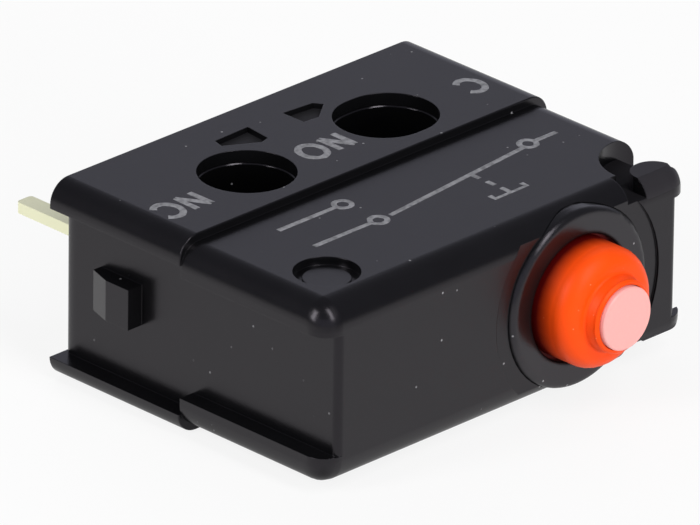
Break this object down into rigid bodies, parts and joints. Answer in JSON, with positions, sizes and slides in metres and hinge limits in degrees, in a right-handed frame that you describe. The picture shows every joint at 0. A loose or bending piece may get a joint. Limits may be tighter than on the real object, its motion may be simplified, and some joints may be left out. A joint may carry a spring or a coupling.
{
  "type": "micro switch",
  "caption": "Sealed subminiature snap-action switch with a booted plunger on one narrow face, blade terminals opposite and mounting holes through the case.",
  "frame": {"origin": "on the lower broad face, midway between the two mounting holes", "axes": "+X along the length towards the plunger end, -Y out of the plunger face, +Y out of the terminal face, +Z through the thickness"},
  "size_m": [0.0126, 0.0135, 0.0053],
  "materials": {
    "case_plastic": "semi-gloss black moulded plastic",
    "base_plastic": "black moulded plastic",
    "ring_plastic": "black moulded plastic",
    "seal_resin": "dark cast resin",
    "terminal_metal": "pale gold-plated sheet",
    "contact_metal": "silver alloy",
    "arm_metal": "copper alloy sheet",
    "plunger_plastic": "pale pink moulded plastic",
    "boot_rubber": "orange silicone rubber, satin",
    "spring_wire": "drawn stainless wire"
  },
  "bodies": {
    "switch_body": {"case": "case_plastic", "base": "base_plastic", "terminal_seal": "seal_resin", "terminal_nc": "terminal_metal", "terminal_no": "terminal_metal", "terminal_common": "terminal_metal", "arm_support": "terminal_metal", "contact_nc": "contact_metal", "contact_no": "contact_metal", "rubber_boot": "boot_rubber", "boot_ring": "ring_plastic", "snap_spring": "spring_wire", "return_spring": "spring_wire"},
    "plunger_body": {"plunger": "plunger_plastic"},
    "arm_body": {"moving_arm": "arm_metal", "moving_contact": "contact_metal"}
  },
  "joints": [
    {"name": "plunger_press", "type": "slide", "parent": "switch_body", "child": "plunger_body", "axis": [0, 1, 0], "range_m": [0, 0.0007], "stiffness_N_per_m": 600, "springref_m": -0.002, "deforming": ["snap_spring", "return_spring", "rubber_boot"]},
    {"name": "arm_snap", "type": "hinge", "parent": "switch_body", "child": "arm_body", "pos_m": [0.0044, -0.0036, 0.00265], "axis": [0, 0, 1], "range_deg": [-3.45, 0]}
  ],
  "couplings": [
    {"joint": "arm_snap", "follows": "plunger_press", "rad_per_m": -86}
  ]
}
